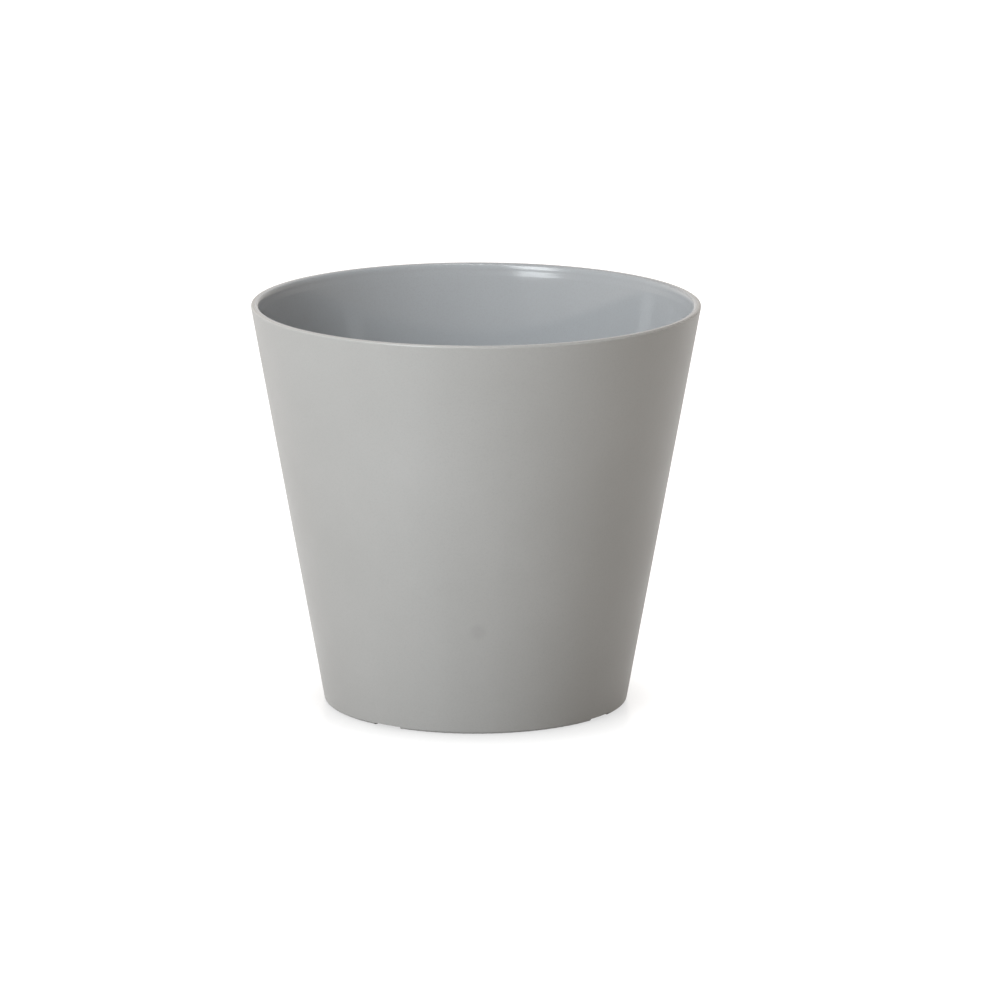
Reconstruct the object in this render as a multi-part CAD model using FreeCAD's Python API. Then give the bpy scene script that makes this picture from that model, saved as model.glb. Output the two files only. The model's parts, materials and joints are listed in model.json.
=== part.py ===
"""Self watering planter: a tapered outer pot with a lift-out watering insert.

The pot is a one-piece tapered shell. Four lugs inside its wall carry a
perforated separator plate, which keeps the soil above a water reservoir. Three
slotted wicking cups hang from the plate into the water, a fill tube with a
hinged cap leads water down past the soil, and a float in a slotted chamber
lifts a red flag into a clear sight dome. An overflow pipe stands in the middle
of the floor, and a plug under the floor closes it for indoor use.

Frame: millimetres, +Z up, origin at the middle of the foot ring's lower face.
-Y is the front.
"""

import FreeCAD
import Part
import math
import os

V = FreeCAD.Vector
X_AXIS = V(1, 0, 0)
Z_AXIS = V(0, 0, 1)
ORIGIN = V(0, 0, 0)

# ---------------------------------------------------------------- outer pot
top_diameter = 200.0
base_diameter = 135.6
height = 180.0
wall = 3.2
floor_thickness = 3.0
foot_recess = 8.0            # depth of the hollow under the floor
foot_ring_width = 4.4
foot_edge_radius = 1.4
floor_corner_radius = 4.0

rim_outer_edge_radius = 0.8
rim_inner_edge_radius = 1.1
rim_ledge_depth = 3.3        # below the top, where the wall inside steps in to its full thickness
rim_ledge_step = 0.1
rim_ledge_height = 2.2
rim_ledge_radius = 8.0

notch_count = 4              # air and drain notches in the foot ring
notch_width = 14.0
notch_height = 1.0
notch_first_angle = 54.7

floor_rib_count = 8
floor_rib_thickness = 1.6
floor_rib_height = 3.5
boss_ring_gap = 3.5          # finger room round the pipe's nut

lug_count = 4                # they carry the separator plate
lug_width = 7.0
lug_depth = 6.0
lug_edge_radius = 0.8

# ---------------------------------------------------------------- separator
separator_level = 47.5       # underside of the plate, above the ground
separator_thickness = 2.2
separator_edge_height = 7.5
separator_edge_thickness = 1.8
separator_gap = 0.6          # all round, to the pot's wall
separator_rib_height = 3.0
separator_rib_thickness = 1.4
separator_rib_radii = (25.0, 55.0)
separator_rib_gap = 1.5      # between the outer rib and the lugs
air_hole_radius = 2.0
air_hole_spacing = 10.0      # from ring to ring, and about as far along each ring
air_hole_margin = 1.0        # solid plate left between a hole and anything else

station_count = 5            # cups, fill tube and gauge share one circle
station_first_angle = 18.0
station_edge_gap = 2.2       # from a cup's foot to the floor's rounded corner
station_lug_gap = 0.8
gauge_station = 3
fill_station = 4

# ---------------------------------------------------------------- wicking cups
cup_top_radius = 15.0
cup_bottom_radius = 12.5
cup_wall = 1.5
cup_flange_width = 2.6
cup_flange_thickness = 1.6
cup_slot_count = 10
cup_slot_width = 2.2
cup_hole_radius = 2.0
cup_hole_circle = 6.8
cup_hole_count = 6

# ---------------------------------------------------------------- fill tube
fill_tube_radius = 11.0
fill_tube_wall = 1.5
fill_flange_width = 3.0      # the tube hangs in the plate by this flange
fill_flange_thickness = 2.0
fill_top_below_rim = 24.0
collar_overlap = 7.0
collar_lip_height = 6.0
collar_lip_width = 2.0
collar_flare = 2.0
collar_skirt_wall = 1.6
cap_thickness = 2.2
cap_ring_gap = 0.5           # between the lid's ring and the tube's bore
cap_ring_wall = 1.4
cap_ring_height = 2.5
cap_tab_width = 8.0
cap_tab_length = 4.0
cap_tab_thickness = 1.5
hinge_standoff = 0.6         # between the collar and the hinge knuckle
hinge_pin_radius = 1.2
hinge_knuckle_radius = 2.4
hinge_knuckle_length = 7.0
hinge_ear_thickness = 2.2
hinge_side_gap = 0.4

# ---------------------------------------------------------------- level gauge
chamber_radius = 12.5
chamber_wall = 1.5
chamber_flange_width = 3.0
chamber_flange_thickness = 1.8
chamber_roof = 2.0
chamber_floor_gap = 2.5      # chamber's open end above the pot's floor
chamber_slot_count = 6
chamber_slot_width = 2.5
grid_thickness = 1.5
grid_ring_width = 2.0
grid_bar_width = 1.6
stem_radius = 6.0
stem_wall = 1.5
stem_socket_wall = 1.8
stem_socket_height = 10.0
gauge_top_below_rim = 16.0
dome_wall = 1.5
dome_bore_relief = 0.5       # dome's bore over the stem's
dome_overlap = 10.0
dome_mark_proud = 0.35
dome_mark_width = 0.9
float_gap = 1.2              # between the float and its chamber
float_height = 13.0
float_wall = 0.8
float_lid_thickness = 1.2
float_lid_plug = 1.5         # how far the lid's ring goes into the float's cup
float_edge_radius = 1.5
float_draught = 6.5          # how deep the float sits in the water
rod_radius = 1.2
rod_gap = 0.7                # between the rod and its hole in the chamber's roof
flag_gap = 0.9               # between the flag and the stem's bore
flag_length = 9.0
flag_sunk = 2.0              # how far the flag hides below the stem's top when dry
dome_top_gap = 2.1           # above the flag at the top of its travel
flag_grip = 4.0              # how far the rod goes into the flag

# ---------------------------------------------------------------- overflow and drain
pipe_radius = 7.5
pipe_wall = 2.0
pipe_top_below_separator = 7.5
pipe_flange_width = 5.5
pipe_flange_thickness = 2.0
pipe_below_floor = 4.5
washer_thickness = 1.5
nut_width = 6.0
nut_thickness = 3.2
nut_lobe_count = 12
nut_lobe_radius = 1.6
plug_head_overhang = 1.5
plug_head_thickness = 1.5
plug_stem_above_floor = 3.0
plug_grip_width = 3.0
plug_grip_height = 1.1
oring_section = 0.9
oring_groove_gap = 0.1

# ---------------------------------------------------------------- clearances
slide_gap = 0.1              # between a sliding piece and its bore
part_gap = 0.3               # between faces on bodies that part
hole_gap = 0.2               # round pieces dropped into a hole
pin_gap = 0.08               # hinge pin in the cap's knuckle

# ---------------------------------------------------------------- worked out from the sizes above
top_radius = top_diameter / 2
base_radius = base_diameter / 2
slope = (top_radius - base_radius) / height
wall_run = wall * math.sqrt(1 + slope ** 2)
floor_top = foot_recess + floor_thickness
plate_top = separator_level + separator_thickness
pipe_top = separator_level - pipe_top_below_separator


def outer_radius(z):
    return base_radius + slope * z


def inner_radius(z):
    return outer_radius(z) - wall_run


lug_reach = inner_radius(separator_level) - lug_depth
floor_flat_radius = inner_radius(floor_top) - floor_corner_radius
station_radius = min(floor_flat_radius - cup_bottom_radius - station_edge_gap,
                     lug_reach - cup_top_radius - station_lug_gap)

fill_bore_radius = fill_tube_radius - fill_tube_wall
collar_lip_radius = fill_tube_radius + collar_lip_width
hinge_offset = collar_lip_radius + hinge_standoff + hinge_knuckle_radius

chamber_bore = chamber_radius - chamber_wall
float_radius = chamber_bore - float_gap
rod_hole_radius = rod_radius + rod_gap
stem_bore_radius = stem_radius - stem_wall
flag_radius = stem_bore_radius - flag_gap

pipe_bore_radius = pipe_radius - pipe_wall
pipe_flange_radius = pipe_radius + pipe_flange_width
nut_radius = pipe_radius + nut_width
boss_ring_radius = nut_radius + boss_ring_gap
plug_head_radius = pipe_radius + plug_head_overhang


def station(index):
    """Centre of one of the five stations on the separator plate."""
    angle = math.radians(station_first_angle + index * 360.0 / station_count)
    return V(station_radius * math.cos(angle), station_radius * math.sin(angle), 0)


# ---------------------------------------------------------------- helpers
def rounded_face(corners):
    """Face in the XZ plane from (r, z) or (r, z, fillet radius) corners."""
    points = [V(c[0], 0, c[1]) for c in corners]
    radii = [c[2] if len(c) > 2 else 0.0 for c in corners]
    joins = []
    for i, corner in enumerate(points):
        back = points[i - 1] - corner
        ahead = points[(i + 1) % len(points)] - corner
        if radii[i] <= 0:
            joins.append((corner, None, corner))
            continue
        half = back.getAngle(ahead) / 2
        run = min(radii[i] / math.tan(half), 0.49 * back.Length, 0.49 * ahead.Length)
        radius = run * math.tan(half)
        back.normalize()
        ahead.normalize()
        inward = back + ahead
        inward.normalize()
        middle = corner + inward * (radius / math.sin(half) - radius)
        joins.append((corner + back * run, middle, corner + ahead * run))
    edges = []
    for i, (start, middle, end) in enumerate(joins):
        if middle is not None:
            edges.append(Part.Arc(start, middle, end).toShape())
        following = joins[(i + 1) % len(joins)][0]
        if (following - end).Length > 1e-6:
            edges.append(Part.makeLine(end, following))
    return Part.Face(Part.Wire(edges))


def turned(corners):
    """Solid of revolution about Z from a rounded (r, z) outline."""
    return rounded_face(corners).revolve(ORIGIN, Z_AXIS, 360)


def ring(inner, outer, low, high):
    """Plain tube about Z."""
    return turned([(inner, low), (outer, low), (outer, high), (inner, high)])


def rod(radius, low, high, at=ORIGIN):
    return Part.makeCylinder(radius, high - low, V(at.x, at.y, low))


def block(x0, x1, y0, y1, z0, z1):
    return Part.makeBox(x1 - x0, y1 - y0, z1 - z0, V(x0, y0, z0))


def round_z(shape, count, first=0.0):
    """Copies of a shape spaced evenly round the Z axis."""
    copies = []
    for index in range(count):
        copy = shape.copy()
        copy.rotate(ORIGIN, Z_AXIS, first + index * 360.0 / count)
        copies.append(copy)
    return copies


def moved(shape, offset):
    copy = shape.copy()
    copy.translate(offset)
    return copy


def upright_slots(radius, width, z0, z1, count):
    """Cutters for upright slots through the wall of a round cup about Z."""
    half = width / 2
    cutter = block(radius - 5, radius + 5, -half, half, z0 + half, z1 - half)
    for level in (z0 + half, z1 - half):
        cutter = cutter.fuse(Part.makeCylinder(half, 10, V(radius - 5, 0, level), X_AXIS))
    return round_z(cutter, count, 180.0 / count)


# ---------------------------------------------------------------- outer pot
def make_outer_pot():
    ledge = height - rim_ledge_depth
    ledge_foot = ledge - rim_ledge_height
    rim_inner = inner_radius(height) + rim_ledge_step
    foot_inner = base_radius - foot_ring_width
    shell = turned([
        (pipe_radius + hole_gap, foot_recess),
        (foot_inner - 0.3, foot_recess, 1.0),
        (foot_inner, 0, 0.6),
        (base_radius, 0, foot_edge_radius),
        (top_radius, height, rim_outer_edge_radius),
        (rim_inner, height, rim_inner_edge_radius),
        (rim_inner - slope * rim_ledge_depth, ledge, rim_ledge_radius),
        (inner_radius(ledge_foot), ledge_foot, rim_ledge_radius),
        (inner_radius(floor_top), floor_top, floor_corner_radius),
        (pipe_radius + hole_gap, floor_top),
    ])
    rib_low = foot_recess - floor_rib_height
    rib = block(boss_ring_radius, foot_inner + 0.5, -floor_rib_thickness / 2,
                floor_rib_thickness / 2, rib_low, foot_recess + 0.5)
    boss = ring(boss_ring_radius, boss_ring_radius + floor_rib_thickness, rib_low, foot_recess + 0.5)
    pot = shell.fuse([boss] + round_z(rib, floor_rib_count, 22.5) + make_lugs())
    notch = block(foot_inner - 2, base_radius + 2, -notch_width / 2, notch_width / 2, -1, notch_height)
    return pot.cut(round_z(notch, notch_count, notch_first_angle)).removeSplitter()


def make_lugs():
    """Lugs with an upright inner edge that run down to the floor or out into the wall."""
    middle_of_wall = wall_run / 2
    run_out = max(floor_top - floor_thickness / 2, (lug_reach - inner_radius(0)) / slope)
    side = Part.Face(Part.makePolygon([
        V(lug_reach, 0, separator_level),
        V(inner_radius(separator_level) + middle_of_wall, 0, separator_level),
        V(inner_radius(run_out) + middle_of_wall, 0, run_out),
        V(lug_reach, 0, run_out),
        V(lug_reach, 0, separator_level),
    ]))
    lug = moved(side, V(0, -lug_width / 2, 0)).extrude(V(0, lug_width, 0))
    corner_edges = [e for e in lug.Edges
                    if abs(e.BoundBox.XMax - lug_reach) < 1e-6 and e.BoundBox.XLength < 1e-6
                    and e.BoundBox.YLength < 1e-6]
    return round_z(lug.makeFillet(lug_edge_radius, corner_edges), lug_count)


# ---------------------------------------------------------------- separator plate
def separator_edge_radius(z):
    return inner_radius(z) - separator_gap


def make_separator_plate():
    edge_top = separator_level + separator_edge_height
    plate = turned([
        (0, separator_level),
        (separator_edge_radius(separator_level), separator_level, 0.8),
        (separator_edge_radius(edge_top), edge_top, 0.6),
        (separator_edge_radius(edge_top) - separator_edge_thickness, edge_top, 0.6),
        (separator_edge_radius(plate_top) - separator_edge_thickness, plate_top, 1.0),
        (0, plate_top),
    ])
    rib_low = separator_level - separator_rib_height
    half_rib = separator_rib_thickness / 2
    rib_rings = [min(radius, lug_reach - separator_rib_gap) for radius in separator_rib_radii]
    additions = [ring(r - half_rib, r + half_rib, rib_low, separator_level + 0.5) for r in rib_rings]
    radial = block(0, rib_rings[-1], -half_rib, half_rib, rib_low, separator_level + 0.5)
    rib_turn = station_first_angle + 180.0 / station_count
    additions += round_z(radial, station_count, rib_turn)
    plate = plate.fuse(additions)

    hole_radii = {gauge_station: chamber_radius, fill_station: fill_tube_radius}
    cuts = [rod(hole_radii.get(index, cup_top_radius) + hole_gap, rib_low - 1, plate_top + 1, station(index))
            for index in range(station_count)]
    cuts += air_holes(rib_rings, rib_turn)
    return plate.cut(cuts).removeSplitter()


def air_holes(rib_rings, rib_turn):
    """Cutters for rings of round holes, left out where a station or a rib is in the way."""
    keep_out = []
    for index in range(station_count):
        radius = cup_top_radius + cup_flange_width
        if index == gauge_station:
            radius = chamber_radius + chamber_flange_width
        elif index == fill_station:
            radius = fill_tube_radius + fill_flange_width
        keep_out.append((station(index), radius + air_hole_radius + air_hole_margin))
    off_rib = separator_rib_thickness / 2 + air_hole_radius + air_hole_margin
    limit = lug_reach - air_hole_radius - air_hole_margin
    cutter = rod(air_hole_radius, separator_level - 1, plate_top + 1)
    holes = []
    radius = air_hole_spacing
    while radius < limit:
        if all(abs(radius - rib) > off_rib for rib in rib_rings):
            sectors = round(2 * math.pi * radius / (station_count * air_hole_spacing))
            count = station_count * max(1, sectors)
            for k in range(count):
                angle = math.radians(rib_turn + (k + 0.5) * 360.0 / count)
                at = V(radius * math.cos(angle), radius * math.sin(angle), 0)
                if all((at - centre).Length > clear for centre, clear in keep_out):
                    holes.append(moved(cutter, at))
        radius += air_hole_spacing
    return holes


# ---------------------------------------------------------------- wicking cups
def make_wicking_cup():
    """Slotted cup about Z that hangs in the plate and reaches down to the floor."""
    bottom = floor_top + part_gap
    flange_radius = cup_top_radius + cup_flange_width
    top = plate_top + cup_flange_thickness
    straight_to = separator_level - separator_rib_height
    cup = turned([
        (0, bottom),
        (cup_bottom_radius, bottom, 1.2),
        (cup_top_radius, straight_to),
        (cup_top_radius, plate_top),
        (flange_radius, plate_top, 0.4),
        (flange_radius, top, 0.7),
        (cup_top_radius - cup_wall, top, 0.5),
        (cup_top_radius - cup_wall, straight_to),
        (cup_bottom_radius - cup_wall, bottom + cup_wall, 1.0),
        (0, bottom + cup_wall),
    ])
    slots = upright_slots(cup_bottom_radius, cup_slot_width, bottom + 4.0, straight_to - 3.0, cup_slot_count)
    hole = rod(cup_hole_radius, bottom - 1, bottom + cup_wall + 1, V(cup_hole_circle, 0, 0))
    holes = round_z(hole, cup_hole_count) + [rod(cup_hole_radius, bottom - 1, bottom + cup_wall + 1)]
    return cup.cut(slots + holes)


# ---------------------------------------------------------------- fill tube, collar and cap
fill_tube_top = height - fill_top_below_rim - collar_lip_height
collar_top = fill_tube_top + collar_lip_height
hinge_level = collar_top + part_gap + cap_thickness / 2 + 0.1


def make_fill_tube():
    low = separator_level - separator_rib_height
    flange_radius = fill_tube_radius + fill_flange_width
    flange_top = plate_top + fill_flange_thickness
    return turned([
        (fill_bore_radius, low, 0.3),
        (fill_tube_radius, low, 0.5),
        (fill_tube_radius, plate_top),
        (flange_radius, plate_top, 0.4),
        (flange_radius, flange_top, 0.7),
        (fill_tube_radius, flange_top, 1.0),
        (fill_tube_radius, fill_tube_top, 0.3),
        (fill_bore_radius, fill_tube_top, 0.3),
    ])


def make_fill_collar():
    """Push-on mouth of the fill tube, with two hinge ears on its front."""
    low = fill_tube_top - collar_overlap
    skirt = fill_tube_radius + collar_skirt_wall
    collar = turned([
        (fill_tube_radius, low, 0.3),
        (skirt, low, 0.5),
        (skirt, fill_tube_top - 1.0),
        (collar_lip_radius, collar_top - 3.0, 0.4),
        (collar_lip_radius, collar_top, 0.5),
        (fill_bore_radius + collar_flare, collar_top, 0.4),
        (fill_bore_radius, fill_tube_top),
        (fill_tube_radius, fill_tube_top),
    ])
    ear_side = hinge_knuckle_length / 2 + hinge_side_gap
    ears = [make_hinge_ear(ear_side), make_hinge_ear(-ear_side - hinge_ear_thickness)]
    pin_hole = Part.makeCylinder(hinge_pin_radius, 40, V(-20, -hinge_offset, hinge_level), X_AXIS)
    return collar.fuse(ears).cut(pin_hole).removeSplitter()


def make_hinge_ear(x0):
    """Ear plate in the YZ plane, rounded over the hinge pin."""
    radius = hinge_knuckle_radius + 0.2
    back = -hinge_offset - radius
    front = -hinge_offset + radius
    root = -collar_lip_radius + 1.6
    low = fill_tube_top - 2.0
    outline = Part.Wire([
        Part.Arc(V(x0, back, hinge_level), V(x0, -hinge_offset, hinge_level + radius),
                 V(x0, front, hinge_level)).toShape(),
        Part.makeLine(V(x0, front, hinge_level), V(x0, front, collar_top - 0.5)),
        Part.makeLine(V(x0, front, collar_top - 0.5), V(x0, root, collar_top - 0.5)),
        Part.makeLine(V(x0, root, collar_top - 0.5), V(x0, root, low)),
        Part.makeLine(V(x0, root, low), V(x0, back, hinge_level - radius)),
        Part.makeLine(V(x0, back, hinge_level - radius), V(x0, back, hinge_level)),
    ])
    return Part.Face(outline).extrude(V(hinge_ear_thickness, 0, 0))


def make_fill_cap():
    """Lid that closes the collar and turns on the hinge pin."""
    low = collar_top + part_gap
    high = low + cap_thickness
    lid = turned([
        (0, low), (collar_lip_radius, low, 0.3), (collar_lip_radius, high, 0.8), (0, high),
    ])
    ring_radius = fill_bore_radius - cap_ring_gap
    sealing_ring = turned([
        (ring_radius - cap_ring_wall, low - cap_ring_height, 0.3),
        (ring_radius, low - cap_ring_height, 0.5),
        (ring_radius, low + 0.5),
        (ring_radius - cap_ring_wall, low + 0.5),
    ])
    half = hinge_knuckle_length / 2
    knuckle = Part.makeCylinder(hinge_knuckle_radius, hinge_knuckle_length,
                                V(-half, -hinge_offset, hinge_level), X_AXIS)
    web = block(-half, half, -hinge_offset, -collar_lip_radius + 3.0, low, high)
    tab_end = collar_lip_radius + cap_tab_length
    tab = block(-cap_tab_width / 2, cap_tab_width / 2, collar_lip_radius - 2.0, tab_end,
                low, low + cap_tab_thickness)
    tab_corners = [e for e in tab.Edges if abs(e.BoundBox.YMin - tab_end) < 1e-6
                   and e.BoundBox.XLength < 1e-6 and e.BoundBox.ZLength > 1e-6]
    tab = tab.makeFillet(2.0, tab_corners)
    pin_hole = Part.makeCylinder(hinge_pin_radius + pin_gap, 40, V(-20, -hinge_offset, hinge_level), X_AXIS)
    return lid.fuse([sealing_ring, knuckle, web, tab]).cut(pin_hole).removeSplitter()


def make_hinge_pin():
    length = hinge_knuckle_length + 2 * (hinge_side_gap + hinge_ear_thickness)
    return Part.makeCylinder(hinge_pin_radius, length, V(-length / 2, -hinge_offset, hinge_level), X_AXIS)


# ---------------------------------------------------------------- level gauge
chamber_low = floor_top + chamber_floor_gap
chamber_top = plate_top + chamber_flange_thickness
roof_top = chamber_top + chamber_roof
gauge_top = height - gauge_top_below_rim
float_low = chamber_low + grid_thickness + part_gap
float_travel = chamber_top - part_gap - float_low - float_height
full_rise = min(float_travel, pipe_top - float_draught - float_low)
stem_top = gauge_top - dome_wall - dome_top_gap - float_travel + flag_sunk
flag_low = stem_top - flag_sunk - flag_length


def make_gauge_chamber():
    """Slotted float chamber that hangs in the plate, with the stem's socket on top."""
    flange_radius = chamber_radius + chamber_flange_width
    socket_radius = stem_radius + stem_socket_wall
    socket_top = roof_top + stem_socket_height
    chamber = turned([
        (chamber_bore, chamber_low, 0.3),
        (chamber_radius, chamber_low, 0.5),
        (chamber_radius, plate_top),
        (flange_radius, plate_top, 0.4),
        (flange_radius, chamber_top, 0.7),
        (chamber_radius, roof_top, 0.8),
        (socket_radius, roof_top, 1.0),
        (socket_radius, socket_top, 0.5),
        (stem_radius, socket_top, 0.3),
        (stem_radius, roof_top),
        (rod_hole_radius, roof_top),
        (rod_hole_radius, chamber_top),
        (chamber_bore, chamber_top, 0.8),
    ])
    slots = upright_slots(chamber_radius, chamber_slot_width, chamber_low + 4.0,
                          separator_level - 4.0, chamber_slot_count)
    return chamber.cut(slots)


def make_chamber_grid():
    """Snap-in grid that keeps the float in its chamber."""
    low = chamber_low
    high = chamber_low + grid_thickness
    bars = [block(-chamber_bore + 0.5, chamber_bore - 0.5, offset - grid_bar_width / 2,
                  offset + grid_bar_width / 2, low, high) for offset in (-4.0, 0.0, 4.0)]
    hoop = ring(chamber_bore - grid_ring_width, chamber_bore, low, high)
    inside = rod(chamber_bore - grid_ring_width / 2, low, high)
    return hoop.fuse([bar.common(inside) for bar in bars]).removeSplitter()


def make_gauge_stem():
    return turned([
        (stem_bore_radius, roof_top, 0.3),
        (stem_radius, roof_top, 0.3),
        (stem_radius, stem_top, 0.3),
        (stem_bore_radius, stem_top, 0.3),
    ])


def make_sight_dome():
    """Clear cap on the stem, with raised low and full marks."""
    outside = stem_radius + dome_wall
    low = stem_top - dome_overlap
    inside_top = gauge_top - dome_wall
    bore = stem_bore_radius + dome_bore_relief
    outline = [(stem_radius, low, 0.3), (outside, low, 0.4)]
    flag_middle = flag_low + flag_length / 2
    for level in (flag_middle + full_rise / 2, flag_middle + full_rise):
        outline += [
            (outside, level - dome_mark_width),
            (outside + dome_mark_proud, level - dome_mark_width / 2, 0.15),
            (outside + dome_mark_proud, level + dome_mark_width / 2, 0.15),
            (outside, level + dome_mark_width),
        ]
    outline += [
        (outside, gauge_top, 3.2),
        (0, gauge_top),
        (0, inside_top),
        (bore, inside_top, 2.0),
        (bore, stem_top),
        (stem_radius, stem_top),
    ]
    return turned(outline)


def make_float_cup():
    """Hollow float, open at the top, with a hub for the rod."""
    seam = float_low + float_height - float_lid_thickness
    hub = rod_radius + float_wall
    return turned([
        (rod_radius, float_low),
        (float_radius, float_low, float_edge_radius),
        (float_radius, seam),
        (float_radius - float_wall, seam),
        (float_radius - float_wall, float_low + float_wall, 0.8),
        (hub, float_low + float_wall),
        (hub, seam),
        (rod_radius, seam),
    ])


def make_float_lid():
    """Lid that closes the float, with a ring that plugs into the cup."""
    seam = float_low + float_height - float_lid_thickness
    plug = float_radius - float_wall
    return turned([
        (rod_radius, seam),
        (plug - float_wall, seam),
        (plug - float_wall, seam - float_lid_plug, 0.2),
        (plug, seam - float_lid_plug, 0.3),
        (plug, seam),
        (float_radius, seam),
        (float_radius, float_low + float_height, 0.9),
        (rod_radius, float_low + float_height),
    ])


def make_float_rod():
    return rod(rod_radius, float_low, flag_low + flag_grip)


def make_level_flag():
    body = turned([
        (0, flag_low), (flag_radius, flag_low, 0.6), (flag_radius, flag_low + flag_length, 1.6),
        (0, flag_low + flag_length),
    ])
    return body.cut(rod(rod_radius, flag_low - 1, flag_low + flag_grip))


# ---------------------------------------------------------------- overflow and drain
def make_overflow_pipe():
    """Standpipe through the floor, clamped by its flange and the nut below."""
    flange_low = floor_top + washer_thickness
    low = foot_recess - pipe_below_floor
    return turned([
        (pipe_bore_radius, low, 0.3),
        (pipe_radius, low, 0.5),
        (pipe_radius, flange_low),
        (pipe_flange_radius, flange_low, 0.3),
        (pipe_flange_radius, flange_low + pipe_flange_thickness, 0.6),
        (pipe_radius, flange_low + pipe_flange_thickness, 1.0),
        (pipe_radius, pipe_top, 0.6),
        (pipe_bore_radius, pipe_top, 0.6),
    ])


def make_pipe_washer():
    return ring(pipe_radius, pipe_flange_radius - 0.4, floor_top, floor_top + washer_thickness)


def make_pipe_nut():
    high = foot_recess
    low = high - nut_thickness
    nut = turned([
        (pipe_radius, low), (nut_radius, low, 0.6), (nut_radius, high, 0.3), (pipe_radius, high),
    ])
    groove = rod(nut_lobe_radius, low - 1, high + 1, V(nut_radius + nut_lobe_radius * 0.4, 0, 0))
    return nut.cut(round_z(groove, nut_lobe_count))


plug_head_top = foot_recess - pipe_below_floor - part_gap
plug_stem_radius = pipe_bore_radius - slide_gap
plug_stem_top = floor_top + plug_stem_above_floor
oring_level = foot_recess + floor_thickness / 2


def make_drain_plug():
    """Push-in plug under the floor, with a grip bar and an O-ring groove."""
    head_low = plug_head_top - plug_head_thickness
    groove = oring_section + oring_groove_gap
    groove_radius = pipe_bore_radius - slide_gap / 2 - 2 * oring_section
    plug = turned([
        (0, head_low),
        (plug_head_radius, head_low, 0.4),
        (plug_head_radius, plug_head_top, 0.4),
        (plug_stem_radius, plug_head_top),
        (plug_stem_radius, oring_level - groove),
        (groove_radius, oring_level - groove),
        (groove_radius, oring_level + groove),
        (plug_stem_radius, oring_level + groove),
        (plug_stem_radius, plug_stem_top, 1.0),
        (0, plug_stem_top),
    ])
    grip = block(-plug_head_radius + 1.5, plug_head_radius - 1.5, -plug_grip_width / 2,
                 plug_grip_width / 2, head_low - plug_grip_height, head_low + 0.3)
    return plug.fuse(grip).removeSplitter()


def make_plug_oring():
    centre_radius = pipe_bore_radius - slide_gap / 2 - oring_section
    return Part.makeTorus(centre_radius, oring_section, V(0, 0, oring_level))


# ---------------------------------------------------------------- assembly
def make_nodes():
    gauge_at = station(gauge_station)
    fill_at = station(fill_station)
    nodes = {
        "outer_pot": make_outer_pot(),
        "overflow_pipe": make_overflow_pipe(),
        "pipe_washer": make_pipe_washer(),
        "pipe_nut": make_pipe_nut(),
        "drain_plug": make_drain_plug(),
        "plug_oring": make_plug_oring(),
        "separator_plate": make_separator_plate(),
        "fill_tube": moved(make_fill_tube(), fill_at),
        "fill_collar": moved(make_fill_collar(), fill_at),
        "fill_cap": moved(make_fill_cap(), fill_at),
        "cap_hinge_pin": moved(make_hinge_pin(), fill_at),
        "gauge_chamber": moved(make_gauge_chamber(), gauge_at),
        "chamber_grid": moved(make_chamber_grid(), gauge_at),
        "gauge_stem": moved(make_gauge_stem(), gauge_at),
        "sight_dome": moved(make_sight_dome(), gauge_at),
        "float_cup": moved(make_float_cup(), gauge_at),
        "float_lid": moved(make_float_lid(), gauge_at),
        "float_rod": moved(make_float_rod(), gauge_at),
        "level_flag": moved(make_level_flag(), gauge_at),
    }
    cup = make_wicking_cup()
    cup_stations = [i for i in range(station_count) if i not in (gauge_station, fill_station)]
    for number, index in enumerate(cup_stations, start=1):
        nodes["wicking_cup_%d" % number] = moved(cup, station(index))
    return nodes


def main():
    os.makedirs("parts", exist_ok=True)
    for name, shape in make_nodes().items():
        solids = shape.Solids
        if len(solids) == 1:
            shape = solids[0]
        print("%-16s solids %d valid %s volume %.1f" % (name, len(solids), shape.isValid(), shape.Volume))
        shape.exportStep("parts/%s.step" % name)
    print("float travel %.2f, gauge top %.1f, hinge level %.2f, station radius %.3f"
          % (float_travel, gauge_top, hinge_level, station_radius))


main()
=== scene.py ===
"""Looks of the self watering planter: materials, floor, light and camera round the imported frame."""

import json
import math

import bpy
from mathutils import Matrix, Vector


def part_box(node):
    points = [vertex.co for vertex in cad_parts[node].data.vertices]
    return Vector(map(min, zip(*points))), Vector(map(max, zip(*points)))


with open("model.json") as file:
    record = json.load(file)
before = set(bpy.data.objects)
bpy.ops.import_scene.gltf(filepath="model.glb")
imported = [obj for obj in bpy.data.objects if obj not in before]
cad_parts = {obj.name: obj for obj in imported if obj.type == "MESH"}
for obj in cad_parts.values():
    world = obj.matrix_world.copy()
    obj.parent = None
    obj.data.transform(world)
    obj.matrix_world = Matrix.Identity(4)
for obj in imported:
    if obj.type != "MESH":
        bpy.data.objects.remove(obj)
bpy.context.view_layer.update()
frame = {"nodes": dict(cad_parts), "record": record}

# ---------------------------------------------------------------- the pot's sizes, in metres
POT_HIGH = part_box("outer_pot")[1]
POT_HEIGHT = POT_HIGH.z
POT_TOP_RADIUS = POT_HIGH.x
POT_BASE_RADIUS = 0.0678
POT_WALL = 0.0032
POT_FLOOR = 0.0095           # middle of the floor's thickness
MARK_PLACE = (0.0012, -0.0764, 0.0483)   # faint round mark low on the front
MARK_REACH = (0.0015, 0.0050)            # how far from its middle it is even, and where it ends
MARK_SHADE = 0.07                        # how much darker it is, as a share
LIP_SATIN = (0.0080, 0.0055) # below the top: where the inside's polish starts to dull, and is dull
LIP_ROLL = (0.0024, 0.0007)  # below the top: where the inner edge starts to roll over, and ends
LIP_TILT = 0.36              # how far up the normal leans there, for a level part of 1
LIP_DULLING = 0.13           # roughness that the dull part of the inside has above the polished part
WALL_BLEND = 0.0004          # half the band on the rim where the outside's look meets the inside's
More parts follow.
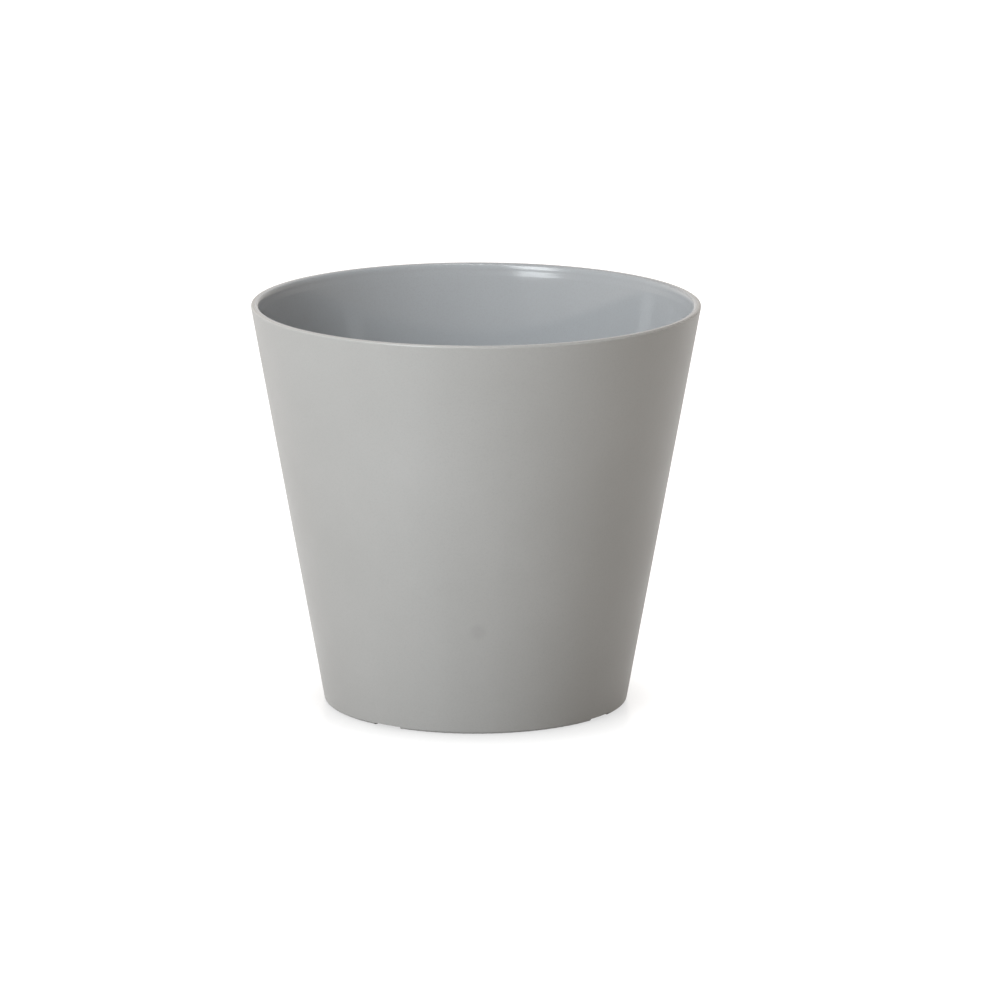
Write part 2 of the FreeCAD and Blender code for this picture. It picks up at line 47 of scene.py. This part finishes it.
FLOOR_BLEND = 0.0005

# ---------------------------------------------------------------- the pot's colours and polish
OUTSIDE_COLOURS = ((0.353, 0.350, 0.341), (0.377, 0.374, 0.366))
# painted light: the inside is the same grey plastic, tinted cooler to stand in for the cooler light that
# falls into it
INSIDE_COLOURS_COOL_LIT = ((0.338, 0.353, 0.369), (0.360, 0.375, 0.391))
SPECKLE_COLOUR = (0.30, 0.30, 0.295)
OUTSIDE_ROUGHNESS = (0.285, 0.335)
INSIDE_ROUGHNESS = (0.06, 0.10)
INSIDE_GRAIN = 0.15          # share of the outside's grain that is left inside

# ---------------------------------------------------------------- camera
CAMERA_DISTANCE = 2.8        # along the ground, from the pot's axis
CAMERA_HEIGHT = 0.716
CAMERA_AIM = Vector((0.0108, 0.0, 0.0904))
CAMERA_LENS = 231.2
CAMERA_ROLL = math.radians(0.1)
CAMERA_SENSOR = 36.0
CAMERA_CLIP = (0.05, 50.0)

# ---------------------------------------------------------------- light
WORLD_LEVEL = 0.98           # brightness of the room's walls at the horizon
WORLD_FALL = 0.82            # how much darker its ceiling is
WORLD_LEAN = (-0.20, 0.10)   # how much lighter its right side and its back are
WORLD_COLOUR = (1.065, 1.0, 0.94)
KEY_PLACE = Vector((-0.669, -0.956, 0.863))
KEY_SIZE = (0.50, 0.90)
KEY_POWER = 16.5
KEY_COLOUR = (0.95, 1.0, 1.03)
TOP_PLACE = Vector((0.0, 0.2, 2.0))
TOP_SIZE = (0.55, 0.7)
TOP_POWER = 7.5
FILL_PLACE = Vector((1.2, -0.24, 0.15))
FILL_SIZE = (0.6, 0.1)
FILL_POWER = 1.2
FILL_COLOUR = (1.0, 0.92, 0.76)

# ---------------------------------------------------------------- floor
FLOOR_HALF = 12.0
FLOOR_ROUGHNESS = 0.30
FLOOR_BOUNCE = (0.20, 0.54)  # the floor's colour as a source of soft light, beside the pot and further off: painted shade darkens it beside the pot
FLOOR_BOUNCE_REACH = (0.07, 0.35)
FLOOR_SEEN = (0.12, 0.50)    # how much of that light the camera and the pot's shine see
FLOOR_GLOW = (0.97, 0.38)    # over an even glow of this much
FLOOR_LEVEL = -0.0002        # just clear of the foot
CONTACT_REACH = 0.035        # painted contact shadow: the floor's glow fades this close to the foot
CONTACT_SHADE = 0.32         # by up to this share
CONTACT_OPEN = (0.45, 0.92)  # between these shares of open sky over the floor

NOISE_SPAN = (0.3, 0.7)      # where most values of a noise texture lie
POLISH_SPREAD = (-0.03, 0.05)    # unevenness of a moulded piece's roughness


# ---------------------------------------------------------------- node helpers
def new_material(name):
    """Empty node material with a Principled shader, and the shader."""
    material = bpy.data.materials.new(name)
    material.use_nodes = True
    return material, material.node_tree.nodes["Principled BSDF"]


def add(material, kind, **values):
    """New node with its sockets or properties set by name."""
    node = material.node_tree.nodes.new(kind)
    for key, value in values.items():
        if key in node.inputs:
            node.inputs[key].default_value = value
        else:
            setattr(node, key, value)
    return node


def link(material, output, target):
    """Wire from one node's socket to another's."""
    material.node_tree.links.new(output, target)


def math_node(material, operation, *values):
    """Math node on numbers or sockets; returns its output."""
    node = add(material, "ShaderNodeMath", operation=operation)
    for i, value in enumerate(values):
        if isinstance(value, bpy.types.NodeSocket):
            link(material, value, node.inputs[i])
        else:
            node.inputs[i].default_value = value
    return node.outputs[0]


def noise(material, scale, detail=2.0, stretch=(1, 1, 1), offset=(0, 0, 0)):
    """Noise in the piece's own space, scale in features per metre; returns a 0 to 1 socket."""
    coords = add(material, "ShaderNodeTexCoord")
    mapping = add(material, "ShaderNodeMapping")
    mapping.inputs["Scale"].default_value = stretch
    mapping.inputs["Location"].default_value = offset
    texture = add(material, "ShaderNodeTexNoise", Scale=scale, Detail=detail)
    link(material, coords.outputs["Object"], mapping.inputs["Vector"])
    link(material, mapping.outputs["Vector"], texture.inputs["Vector"])
    return texture.outputs["Fac"]


def remap(material, value, low, high, to_low, to_high, smooth=False):
    """Socket that runs from to_low to to_high while the value runs from low to high."""
    node = add(material, "ShaderNodeMapRange")
    node.interpolation_type = "SMOOTHSTEP" if smooth else "LINEAR"
    link(material, value, node.inputs["Value"])
    node.inputs["From Min"].default_value = low
    node.inputs["From Max"].default_value = high
    node.inputs["To Min"].default_value = to_low
    node.inputs["To Max"].default_value = to_high
    return node.outputs["Result"]


def mix_colours(material, factor, first, second):
    """Mix of two colours, each a tuple or a socket, by a 0 to 1 socket."""
    node = add(material, "ShaderNodeMix", data_type="RGBA")
    link(material, factor, node.inputs["Factor"])
    for value, name in ((first, "A"), (second, "B")):
        socket = next(s for s in node.inputs if s.name == name and s.type == "RGBA")
        if isinstance(value, bpy.types.NodeSocket):
            link(material, value, socket)
        else:
            socket.default_value = (*value, 1.0)
    return next(s for s in node.outputs if s.type == "RGBA")


def shade(colour, factor):
    """The colour, made lighter or darker."""
    return tuple(channel * factor for channel in colour)


def bumps(material, shader, layers, normal=None):
    """Chain of bump nodes on a normal, one for each (height socket, strength, distance)."""
    for height, strength, distance in layers:
        bump = add(material, "ShaderNodeBump", Strength=strength, Distance=distance)
        link(material, height, bump.inputs["Height"])
        if normal is not None:
            link(material, normal, bump.inputs["Normal"])
        normal = bump.outputs["Normal"]
    link(material, normal, shader.inputs["Normal"])


# ---------------------------------------------------------------- materials
def plastic(name, colour, roughness, grain=2200.0, grain_depth=0.00002, variation=0.04, wave_depth=0.00008):
    """Moulded plastic: cloudy colour, uneven polish, fine tool texture and faint sink waves."""
    material, shader = new_material(name)
    clouds = noise(material, 22.0, 4.0)
    speckle = noise(material, 900.0, 2.0)
    base = mix_colours(material, remap(material, clouds, *NOISE_SPAN, 0.0, 1.0),
                       shade(colour, 1 - variation), shade(colour, 1 + variation))
    tinted = mix_colours(material, remap(material, speckle, 0.35, 0.75, 0.0, 0.5), base,
                         shade(colour, 1 - 1.5 * variation))
    link(material, tinted, shader.inputs["Base Color"])
    polish = noise(material, 60.0, 3.0, offset=(3.0, 1.0, 2.0))
    smoothest, roughest = (roughness + spread for spread in POLISH_SPREAD)
    link(material, remap(material, polish, *NOISE_SPAN, smoothest, roughest), shader.inputs["Roughness"])
    fine = noise(material, grain, 2.0)
    wave = noise(material, 30.0, 1.0, offset=(5.0, 2.0, 1.0))
    bumps(material, shader, [(wave, 0.3, wave_depth), (fine, 0.35, grain_depth)])
    return material


def below_top(depths):
    """Heights of places on the pot, from their depths below its top."""
    return [POT_HEIGHT - depth for depth in depths]


def rolled_normal(material, z, inside):
    """Normal that leans upwards near the top of the pot's inside, where its edge rolls over."""
    roll = remap(material, z, *below_top(LIP_ROLL), 0.0, LIP_TILT)
    lean = add(material, "ShaderNodeCombineXYZ")
    link(material, math_node(material, "MULTIPLY", roll, inside), lean.inputs["Z"])
    leaning = add(material, "ShaderNodeVectorMath", operation="ADD")
    link(material, add(material, "ShaderNodeNewGeometry").outputs["Normal"], leaning.inputs[0])
    link(material, lean.outputs[0], leaning.inputs[1])
    unit = add(material, "ShaderNodeVectorMath", operation="NORMALIZE")
    link(material, leaning.outputs[0], unit.inputs[0])
    return unit.outputs[0]


def marked(material, colour, place):
    """The outside's colour, a shade darker within the small round mark on the front."""
    away = add(material, "ShaderNodeVectorMath", operation="DISTANCE")
    link(material, place, away.inputs[0])
    away.inputs[1].default_value = MARK_PLACE
    dimmed = add(material, "ShaderNodeVectorMath", operation="SCALE")
    link(material, colour, dimmed.inputs[0])
    share = remap(material, away.outputs["Value"], *MARK_REACH, 1.0 - MARK_SHADE, 1.0, smooth=True)
    link(material, share, dimmed.inputs["Scale"])
    return dimmed.outputs[0]


def pot_plastic():
    """Grey pot: fine satin texture outside, polished inside, its inside tinted a little cooler as painted
    cool light.
    """
    material, shader = new_material("pot_plastic")
    coords = add(material, "ShaderNodeTexCoord")
    split = add(material, "ShaderNodeSeparateXYZ")
    link(material, coords.outputs["Object"], split.inputs[0])
    x, y, z = split.outputs
    squares = [math_node(material, "MULTIPLY", across, across) for across in (x, y)]
    radius = math_node(material, "SQRT", math_node(material, "ADD", *squares))
    slope = (POT_TOP_RADIUS - POT_BASE_RADIUS) / POT_HEIGHT
    middle = math_node(material, "MULTIPLY_ADD", z, slope, POT_BASE_RADIUS - POT_WALL / 2)
    depth = math_node(material, "SUBTRACT", middle, radius)
    within = remap(material, depth, -WALL_BLEND, WALL_BLEND, 0.0, 1.0, smooth=True)
    above = remap(material, z, POT_FLOOR - FLOOR_BLEND, POT_FLOOR + FLOOR_BLEND, 0.0, 1.0)
    inside = math_node(material, "MULTIPLY", within, above)

    clouds = noise(material, 16.0, 5.0)
    speckle = noise(material, 1400.0, 2.0, offset=(2.0, 5.0, 1.0))
    cloudy = remap(material, clouds, *NOISE_SPAN, 0.0, 1.0)
    outer = mix_colours(material, cloudy, *OUTSIDE_COLOURS)
    # painted light: the inside's cooler tint stands in for the cool light there
    inner_cool_lit = mix_colours(material, cloudy, *INSIDE_COLOURS_COOL_LIT)
    outer = marked(material, outer, coords.outputs["Object"])
    both = mix_colours(material, inside, outer, inner_cool_lit)
    speckled = remap(material, speckle, 0.45, 0.8, 0.0, 0.35)
    link(material, mix_colours(material, speckled, both, SPECKLE_COLOUR), shader.inputs["Base Color"])

    polish = noise(material, 45.0, 3.0, offset=(3.0, 1.0, 2.0))
    outer_rough = remap(material, polish, *NOISE_SPAN, *OUTSIDE_ROUGHNESS)
    polished = remap(material, polish, *NOISE_SPAN, *INSIDE_ROUGHNESS)
    dulled = remap(material, z, *below_top(LIP_SATIN), 0.0, LIP_DULLING)
    inner_rough = math_node(material, "ADD", polished, dulled)
    rough = add(material, "ShaderNodeMix", data_type="FLOAT")
    link(material, inside, rough.inputs[0])
    link(material, outer_rough, rough.inputs[2])
    link(material, inner_rough, rough.inputs[3])
    link(material, rough.outputs[0], shader.inputs["Roughness"])

    grain = noise(material, 2600.0, 2.0)
    grain_share = remap(material, inside, 0.0, 1.0, 1.0, INSIDE_GRAIN)
    grain_height = math_node(material, "MULTIPLY", grain, grain_share)
    flow = noise(material, 26.0, 2.0, stretch=(1.0, 1.0, 0.35), offset=(7.0, 2.0, 0.0))
    bumps(material, shader, [(flow, 0.25, 0.00012), (grain_height, 0.4, 0.00003)],
          rolled_normal(material, z, inside))
    return material


def clear_plastic():
    """Clear acrylic dome with a faint haze."""
    material, shader = new_material("clear_dome")
    haze = noise(material, 120.0, 3.0)
    link(material, mix_colours(material, haze, (0.90, 0.94, 0.95), (0.97, 0.98, 0.98)),
         shader.inputs["Base Color"])
    link(material, remap(material, haze, *NOISE_SPAN, 0.03, 0.09), shader.inputs["Roughness"])
    shader.inputs["Transmission Weight"].default_value = 1.0
    shader.inputs["IOR"].default_value = 1.49
    bumps(material, shader, [(noise(material, 60.0, 1.0), 0.15, 0.00004)])
    return material


def rubber():
    """Dusty black seal."""
    material, shader = new_material("seal_rubber")
    dust = noise(material, 180.0, 4.0)
    link(material, mix_colours(material, remap(material, dust, 0.4, 0.75, 0.0, 1.0),
                               (0.022, 0.022, 0.023), (0.045, 0.044, 0.042)), shader.inputs["Base Color"])
    link(material, remap(material, dust, *NOISE_SPAN, 0.62, 0.78), shader.inputs["Roughness"])
    bumps(material, shader, [(noise(material, 1500.0, 3.0), 0.4, 0.00003)])
    return material


def steel():
    """Turned stainless pin, with fine lines round it."""
    material, shader = new_material("pin_steel")
    lines = noise(material, 9000.0, 1.0, stretch=(1.0, 0.02, 0.02))
    link(material, mix_colours(material, lines, (0.52, 0.52, 0.51), (0.62, 0.61, 0.60)),
         shader.inputs["Base Color"])
    link(material, remap(material, lines, *NOISE_SPAN, 0.29, 0.40), shader.inputs["Roughness"])
    shader.inputs["Metallic"].default_value = 1.0
    bumps(material, shader, [(lines, 0.2, 0.00001)])
    return material


def make_materials():
    """Every material, by the name of its slot in the record."""
    charcoal = (0.045, 0.047, 0.050)
    return {
        "pot_plastic": pot_plastic(),
        "insert_plastic": plastic("insert_plastic", charcoal, 0.50, variation=0.10),
        "tube_plastic": plastic("tube_plastic", (0.20, 0.20, 0.20), 0.38, grain=1500.0, grain_depth=0.00001),
        "cap_plastic": plastic("cap_plastic", (0.38, 0.377, 0.368), 0.33),
        "overflow_plastic": plastic("overflow_plastic", charcoal, 0.42, variation=0.08),
        "seal_rubber": rubber(),
        "clear_dome": clear_plastic(),
        "float_plastic": plastic("float_plastic", (0.78, 0.78, 0.75), 0.40, variation=0.03),
        "flag_plastic": plastic("flag_plastic", (0.62, 0.030, 0.020), 0.32, variation=0.06),
        "pin_steel": steel(),
    }


def paint_nodes():
    """Each carried-over node takes the material of its slot in the record."""
    materials = make_materials()
    slots = {s["node"]: s["material_slot"] for s in frame["record"]["subparts"]}
    for name, node in frame["nodes"].items():
        node.data.materials.clear()
        node.data.materials.append(materials[slots[name]])


# ---------------------------------------------------------------- stage
def make_camera():
    """Long lens in front of the pot, looking down on it a little."""
    data = bpy.data.cameras.new("camera")
    data.lens = CAMERA_LENS
    data.sensor_width = CAMERA_SENSOR
    data.clip_start, data.clip_end = CAMERA_CLIP
    camera = bpy.data.objects.new("camera", data)
    bpy.context.scene.collection.objects.link(camera)
    camera.location = (0.0, -CAMERA_DISTANCE, CAMERA_HEIGHT)
    camera.rotation_euler = (CAMERA_AIM - camera.location).to_track_quat("-Z", "Y").to_euler()
    camera.rotation_euler.rotate_axis("Z", CAMERA_ROLL)
    bpy.context.scene.camera = camera


def grey(level):
    return (level, level, level)


def floor_white():
    """White to the camera, duller as a source of light, with a painted shadow round the foot, clear from
    below.
    """
    material, shader = new_material("floor_white")
    coords = add(material, "ShaderNodeTexCoord")
    away = add(material, "ShaderNodeVectorMath", operation="LENGTH")
    link(material, coords.outputs["Object"], away.inputs[0])
    # painted shade: as a source of bounced light the floor is darker close to the pot
    far = remap(material, away.outputs["Value"], *FLOOR_BOUNCE_REACH, 0.0, 1.0, smooth=True)
    bounce = mix_colours(material, far, *map(grey, FLOOR_BOUNCE))
    path = add(material, "ShaderNodeLightPath")
    shine = path.outputs["Is Glossy Ray"]
    soft = path.outputs["Is Diffuse Ray"]
    seen = mix_colours(material, shine, *map(grey, FLOOR_SEEN))
    link(material, mix_colours(material, soft, seen, bounce), shader.inputs["Base Color"])
    shader.inputs["Roughness"].default_value = FLOOR_ROUGHNESS
    # painted contact shadow: the floor's glow is dimmed where the foot and pot hide the sky
    contact = add(material, "ShaderNodeAmbientOcclusion", Distance=CONTACT_REACH)
    painted_contact_shade = remap(material, contact.outputs["AO"], *CONTACT_OPEN, 1.0 - CONTACT_SHADE, 1.0)
    glow = remap(material, shine, 0.0, 1.0, *FLOOR_GLOW)
    glow = math_node(material, "MULTIPLY", glow, math_node(material, "SUBTRACT", 1.0, soft))
    link(material, math_node(material, "MULTIPLY", glow, painted_contact_shade), shader.inputs["Emission Strength"])
    shader.inputs["Emission Color"].default_value = (1.0, 1.0, 1.0, 1.0)
    below = add(material, "ShaderNodeNewGeometry").outputs["Backfacing"]
    link(material, math_node(material, "SUBTRACT", 1.0, below), shader.inputs["Alpha"])
    return material


def make_floor():
    """Wide pale floor just under the pot."""
    mesh = bpy.data.meshes.new("floor")
    corners = ((-FLOOR_HALF, -FLOOR_HALF), (FLOOR_HALF, -FLOOR_HALF),
               (FLOOR_HALF, FLOOR_HALF), (-FLOOR_HALF, FLOOR_HALF))
    mesh.from_pydata([(x, y, FLOOR_LEVEL) for x, y in corners], [], [(0, 1, 2, 3)])
    mesh.materials.append(floor_white())
    floor = bpy.data.objects.new("floor", mesh)
    bpy.context.scene.collection.objects.link(floor)


def area_light(name, place, aim, size, power, colour=(1.0, 1.0, 1.0)):
    """Flat lamp at a place, facing its aim."""
    data = bpy.data.lights.new(name, "AREA")
    data.shape = "RECTANGLE"
    data.size, data.size_y = size
    data.energy = power
    data.color = colour
    light = bpy.data.objects.new(name, data)
    bpy.context.scene.collection.objects.link(light)
    light.rotation_euler = (aim - place).to_track_quat("-Z", "Y").to_euler()
    light.location = place


def make_light():
    """Soft room that darkens upwards and to the right, with three lamps in it."""
    world = bpy.data.worlds.new("studio")
    world.use_nodes = True
    background = world.node_tree.nodes["Background"]
    background.inputs["Color"].default_value = (*WORLD_COLOUR, 1.0)
    coords = add(world, "ShaderNodeTexCoord")
    split = add(world, "ShaderNodeSeparateXYZ")
    link(world, coords.outputs["Generated"], split.inputs[0])
    level = math_node(world, "MULTIPLY_ADD", split.outputs["Z"], -WORLD_FALL, WORLD_LEVEL)
    for axis, lean in zip("XY", WORLD_LEAN):
        level = math_node(world, "MULTIPLY_ADD", split.outputs[axis], lean, level)
    link(world, level, background.inputs["Strength"])
    bpy.context.scene.world = world
    middle = Vector((0, 0, POT_HEIGHT / 2))
    area_light("key", KEY_PLACE, middle, KEY_SIZE, KEY_POWER, KEY_COLOUR)
    area_light("top", TOP_PLACE, middle, TOP_SIZE, TOP_POWER)
    area_light("fill", FILL_PLACE, middle, FILL_SIZE, FILL_POWER, FILL_COLOUR)


make_camera()
make_floor()
make_light()
paint_nodes()
bpy.context.scene.view_settings.view_transform = "Standard"
bpy.context.scene.view_settings.look = "None"
